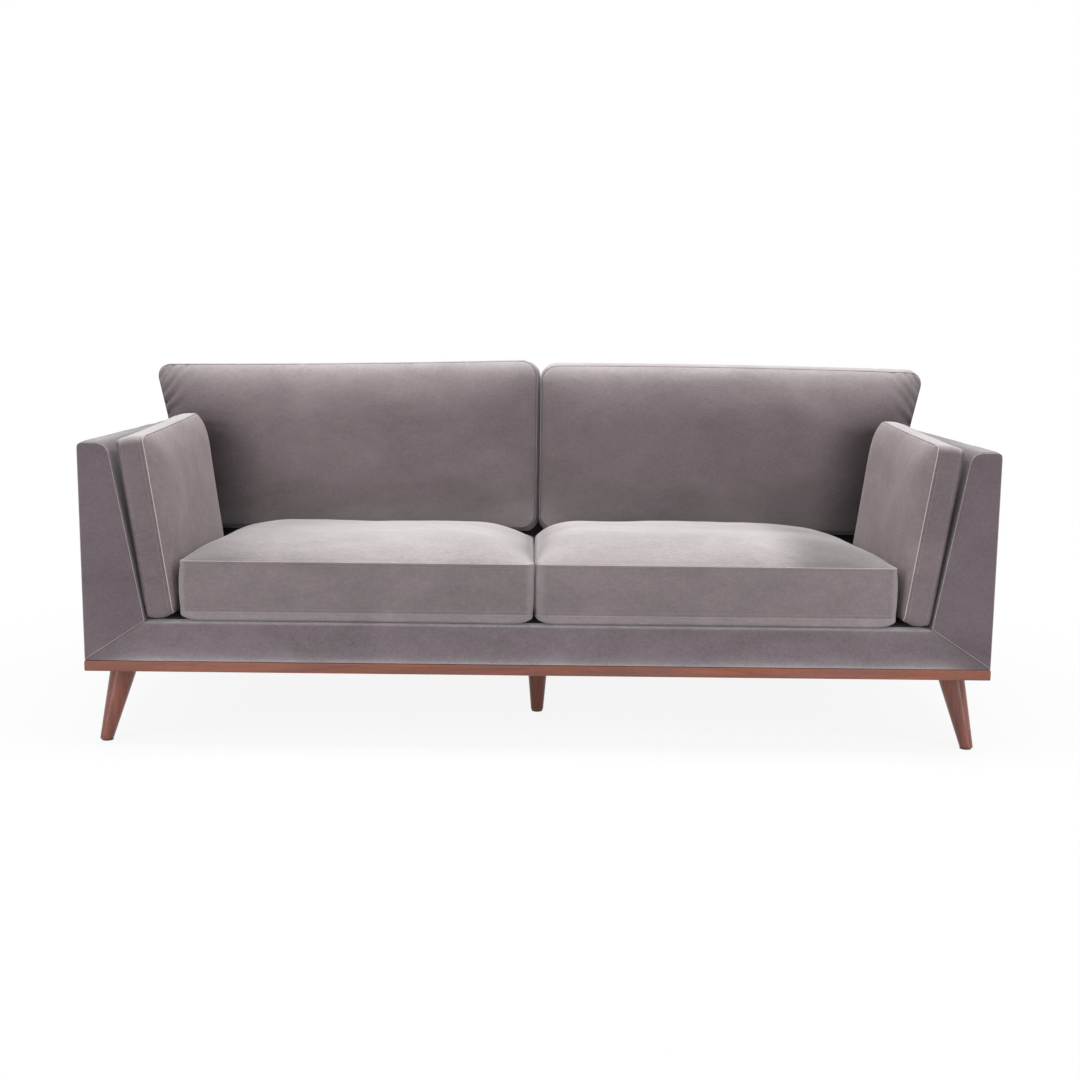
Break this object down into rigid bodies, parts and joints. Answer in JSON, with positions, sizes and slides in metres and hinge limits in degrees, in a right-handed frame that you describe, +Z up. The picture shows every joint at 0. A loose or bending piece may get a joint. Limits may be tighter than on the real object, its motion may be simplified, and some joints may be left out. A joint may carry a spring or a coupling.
{
  "type": "three-seater sofa",
  "caption": "Upholstered sofa on a stained wooden plinth with splayed tapered legs, leaning arms and loose crowned seat, back and arm cushions that come off.",
  "frame": {"origin": "on the floor, in the middle of the sofa's footprint", "axes": "+X to the sofa's right as seen from the front, +Y from its front to its back, +Z up"},
  "size_m": [2.1, 0.89, 0.876],
  "materials": {
    "velvet": "short grey-mauve velvet pile",
    "walnut": "satin reddish-brown walnut stain",
    "frame_timber": "planed pale softwood and plywood",
    "cushion_foam": "open-cell cushion foam",
    "webbing": "woven elastic webbing",
    "deck_felt": "dark needled felt and cloth",
    "steel_fixings": "zinc-plated",
    "foot_glides": "moulded black plastic"
  },
  "bodies": {
    "sofa_frame": {"back_end_panels": "velvet", "back_inside_panel": "velvet", "back_outside_panel": "velvet", "back_posts": "frame_timber", "back_top_rail": "frame_timber", "back_webbing": "webbing", "base_rear_rail": "frame_timber", "dust_cover": "deck_felt", "foot_glides": "foot_glides", "front_fascia": "velvet", "left_arm_front_board": "frame_timber", "left_arm_front_facing": "velvet", "left_arm_inside_panel": "velvet", "left_arm_low_rail": "frame_timber", "left_arm_outside_panel": "velvet", "left_arm_rear_board": "frame_timber", "left_arm_rear_facing": "velvet", "left_arm_top_rail": "frame_timber", "leg_blocks": "frame_timber", "leg_bolts": "steel_fixings", "leg_nuts": "steel_fixings", "legs": "walnut", "plinth_cross_rail": "walnut", "plinth_front_rail": "walnut", "plinth_left_rail": "walnut", "plinth_rear_rail": "walnut", "plinth_right_rail": "walnut", "right_arm_front_board": "frame_timber", "right_arm_front_facing": "velvet", "right_arm_inside_panel": "velvet", "right_arm_low_rail": "frame_timber", "right_arm_outside_panel": "velvet", "right_arm_rear_board": "frame_timber", "right_arm_rear_facing": "velvet", "right_arm_top_rail": "frame_timber", "seat_back_rail": "frame_timber", "seat_centre_rail": "frame_timber", "seat_cross_webbing": "webbing", "seat_deck": "deck_felt", "seat_front_rail": "frame_timber", "seat_side_rails": "frame_timber", "seat_webbing": "webbing"},
    "left_seat_cushion": {"left_seat_cushion_cover": "velvet", "left_seat_cushion_foam": "cushion_foam"},
    "left_back_cushion": {"left_back_cushion_cover": "velvet", "left_back_cushion_foam": "cushion_foam"},
    "left_arm_cushion": {"left_arm_cushion_cover": "velvet", "left_arm_cushion_foam": "cushion_foam"},
    "right_seat_cushion": {"right_seat_cushion_cover": "velvet", "right_seat_cushion_foam": "cushion_foam"},
    "right_back_cushion": {"right_back_cushion_cover": "velvet", "right_back_cushion_foam": "cushion_foam"},
    "right_arm_cushion": {"right_arm_cushion_cover": "velvet", "right_arm_cushion_foam": "cushion_foam"}
  },
  "joints": [
    {"name": "left_seat_cushion_pull_out", "type": "slide", "parent": "sofa_frame", "child": "left_seat_cushion", "axis": [0, -0.999, 0.0436], "range_m": [0, 0.74]},
    {"name": "left_back_cushion_lift_off", "type": "slide", "parent": "sofa_frame", "child": "left_back_cushion", "axis": [0, 0.1219, 0.9925], "range_m": [0, 0.48]},
    {"name": "left_arm_cushion_lift_off", "type": "slide", "parent": "sofa_frame", "child": "left_arm_cushion", "axis": [-0.1495, 0, 0.9888], "range_m": [0, 0.48]},
    {"name": "right_seat_cushion_pull_out", "type": "slide", "parent": "sofa_frame", "child": "right_seat_cushion", "axis": [0, -0.999, 0.0436], "range_m": [0, 0.74]},
    {"name": "right_back_cushion_lift_off", "type": "slide", "parent": "sofa_frame", "child": "right_back_cushion", "axis": [0, 0.1219, 0.9925], "range_m": [0, 0.48]},
    {"name": "right_arm_cushion_lift_off", "type": "slide", "parent": "sofa_frame", "child": "right_arm_cushion", "axis": [0.1495, 0, 0.9888], "range_m": [0, 0.48]}
  ]
}
